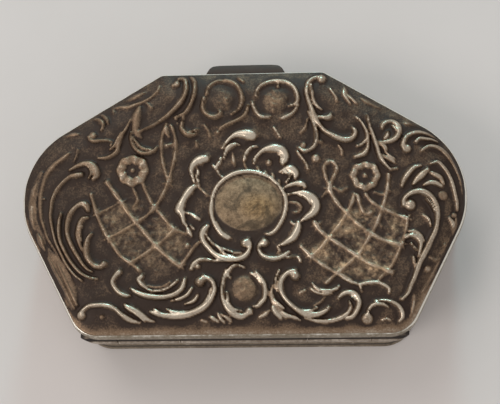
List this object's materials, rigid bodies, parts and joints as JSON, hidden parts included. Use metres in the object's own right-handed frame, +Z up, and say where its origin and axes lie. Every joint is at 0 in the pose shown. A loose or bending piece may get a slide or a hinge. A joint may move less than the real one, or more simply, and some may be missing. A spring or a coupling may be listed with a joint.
{
  "type": "snuff box",
  "caption": "Small silver snuff box with a waisted six-sided plan, a lid covered in pressed rococo scrollwork, a front thumbpiece and a knuckle hinge along the long back edge.",
  "frame": {"origin": "middle of the case's plan, on the underside of the base", "axes": "+Z up, +Y from the hinge to the thumbpiece, +X along the hinge, the box's long way"},
  "size_m": [0.0564, 0.0362, 0.0143],
  "materials": {
    "chased_silver": "pressed relief, worn bright on the ridges and tarnished dark between them",
    "plain_silver": "plain, lightly tarnished and scratched",
    "hinge_silver": "drawn tube, tarnished in the joints"
  },
  "bodies": {
    "box": {"base_plate": "plain_silver", "body_wall": "plain_silver", "foot_moulding": "plain_silver", "inner_bezel": "plain_silver", "body_hinge_bearer": "hinge_silver", "knuckle_body_left": "hinge_silver", "knuckle_body_centre": "hinge_silver", "knuckle_body_right": "hinge_silver", "hinge_pin": "hinge_silver", "hinge_plug_left": "hinge_silver", "hinge_plug_right": "hinge_silver"},
    "lid": {"lid_panel": "chased_silver", "lid_rim": "plain_silver", "lid_hinge_bearer": "hinge_silver", "knuckle_lid_left": "hinge_silver", "knuckle_lid_right": "hinge_silver", "thumbpiece": "plain_silver"}
  },
  "joints": [
    {"name": "lid_hinge", "type": "hinge", "parent": "box", "child": "lid", "pos_m": [0, -0.0166, 0.0096], "axis": [1, 0, 0], "range_deg": [0, 110]}
  ]
}
